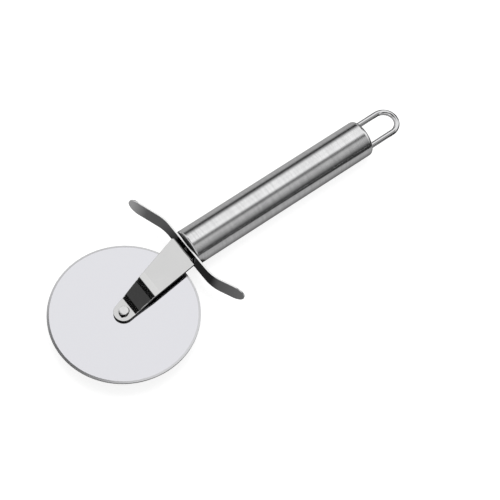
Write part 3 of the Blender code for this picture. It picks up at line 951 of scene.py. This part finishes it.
def dress_hidden_pieces():
    """The solids' own shapes stay where they are small and inside."""
    for node in ("fixing_screw", "lock_nut"):
        refinish(node, fittings)
    for node in ("front_plug", "loop_anchor"):
        refinish(node, finished("moulded_" + node, plastic_paint, PLASTIC))


def box_corners(low_x, low_y, high_x, high_y):
    return [(low_x, low_y), (high_x, low_y), (high_x, high_y), (low_x, high_y)]


def flat_panel(name, corners, height):
    """A level panel of the studio, which isn't part of the cutter."""
    mesh = bpy.data.meshes.new(name)
    mesh.from_pydata([(x, y, height) for x, y in corners], [], [tuple(range(len(corners)))])
    return placed(name, mesh)


def make_floor():
    corners = box_corners(-FLOOR_REACH, -FLOOR_REACH, FLOOR_REACH, FLOOR_REACH)
    floor = flat_panel("studio_floor", corners, 0.0)
    material, finish = new_finish("floor_paper")
    tooth = finish.noise(finish.where(), 900.0)
    paper = finish.node("ShaderNodeBsdfPrincipled", inputs={
        "Base Color": finish.blend(tooth, (0.49, 0.49, 0.49), (0.51, 0.51, 0.51)),
        "Roughness": 0.9, "Specular IOR Level": 0.1})
    glow = finish.node("ShaderNodeEmission", inputs={"Strength": FLOOR_WHITE})
    whitened = finish.node("ShaderNodeAddShader", inputs={0: paper, 1: glow})
    finish.output(finish.mixed(finish.shown(), paper, whitened))
    floor.data.materials.append(material)


def grey_card(name, corners, height, stops):
    """A card near the cutter that only its reflections see, as a studio flag does.
    Its greys run along Y, each stop a place in Y and a level."""
    card = flat_panel(name, corners, height)
    material, finish = new_finish(name + "_grey")
    y = finish.axes(finish.where())[1]
    level = finish.greys(y, stops)
    finish.output(finish.node("ShaderNodeEmission", inputs={"Color": level, "Strength": 1.0}))
    material.cycles.emission_sampling = "NONE"
    card.data.materials.append(material)
    card.visible_camera = False
    card.visible_diffuse = False
    card.visible_transmission = False
    card.visible_shadow = False


def even(grey):
    """Stops for a card with one grey all over."""
    return [(-1, grey), (1, grey)]


def make_cards():
    """Corners in X and Y, height, and greys along Y, all in metres of the model's own frame."""
    grey_card("floor_grey_card", box_corners(-2.5, -2.5, 2.5, 2.5), LOW_CARD_Z, even(0.4))
    grey_card("front_dark_card", [
        (-0.4, -0.9), (1.5, -0.9), (1.5, -0.025), (0.08, -0.033), (0.009, -0.075),
        (-0.4, -0.316),
    ], MIDDLE_CARD_Z, even(0.03))
    grey_card("handle_shade_card", box_corners(-0.02, -0.014, 0.085, 0.0), MIDDLE_CARD_Z, [
        (-0.014, 0.36), (-0.010, 0.30), (-0.0055, 0.16), (0.0, 0.12),
    ])
    grey_card(
        "wheel_shade_card", box_corners(-0.13, -0.08, -0.03, 0.045), MIDDLE_CARD_Z, even(0.06))
    grey_card("guard_dark_card", box_corners(-0.045, -0.05, -0.016, 0.06), TOP_CARD_Z, [
        (-0.05, 0.18), (-0.032, 0.18), (-0.017, 0.11), (-0.012, 0.02), (0.014, 0.02),
        (0.023, 0.11), (0.030, 0.12), (0.037, 0.36), (0.06, 0.50),
    ])
    grey_card("loop_dark_card", box_corners(0.089, -0.03, 0.15, 0.05), TOP_CARD_Z, even(0.02))


def make_sky():
    """The tent, with its lane and its dark flags. Behind the floor the camera sees white."""
    world = bpy.data.worlds.new("studio_tent")
    world.use_nodes = True
    bpy.context.scene.world = world
    finish = Finish(world.node_tree)
    x, y, z = finish.axes(finish.where("Generated"))
    angle = finish.maths("ARCTAN2", z, y) * (180 / math.pi)
    tent = finish.greys(angle, TENT_STOPS)
    level = tent + (finish.greys(angle, LANE_STOPS) - tent) * x.between(**LANE)
    level = level * (1 - (1 - finish.greys(x, RAMP_FLAG_STOPS)) * angle.between(**RAMP_FLAG))
    for share, angles, places in FLAGS:
        level = level * (1 - share * angle.between(**angles) * x.between(**places))
    end_flag = END_FLAG * x.spread(*END_FLAG_PLACE) * (1 - angle.spread(*END_FLAG_ANGLE))
    level = level * (1 - end_flag)
    gap = finish.node("ShaderNodeBackground", inputs={"Strength": 0.0})
    panel = finish.node("ShaderNodeBackground", inputs={"Strength": TENT_STRENGTH})
    white = finish.node("ShaderNodeBackground", inputs={"Strength": 1.0})
    seen = finish.node("ShaderNodeLightPath", output="Is Camera Ray")
    sky = finish.mixed(level, gap, panel)
    finish.output(finish.mixed(seen, sky, white), "ShaderNodeOutputWorld")


def make_lamp():
    data = bpy.data.lights.new("overhead_softbox", "AREA")
    data.shape = "RECTANGLE"
    data.size, data.size_y = LAMP_SIZE
    data.energy = LAMP_POWER
    lamp = placed("overhead_softbox", data)
    lamp.location = LAMP_PLACE
    lamp.rotation_mode = "QUATERNION"
    lamp.rotation_quaternion = lamp.location.to_track_quat("Z", "Y")
    lamp.visible_glossy = False


def make_camera():
    data = bpy.data.cameras.new("photograph_view")
    data.sensor_width = CAMERA_SENSOR
    data.lens = CAMERA_LENS
    data.clip_start, data.clip_end = CAMERA_CLIP
    camera = placed("photograph_view", data)
    camera.matrix_world = Matrix.Translation(CAMERA_PLACE) @ Matrix(CAMERA_TURN).to_4x4()
    bpy.context.scene.camera = camera


fittings = finished("fitting_steel", fitting_paint)
make_wheel()
make_rivet()
make_washer()
make_arm()
make_guard()
make_tube()
make_loop()
dress_hidden_pieces()

make_floor()
make_cards()
make_sky()
make_lamp()
make_camera()
bpy.context.scene.view_settings.view_transform = "Standard"
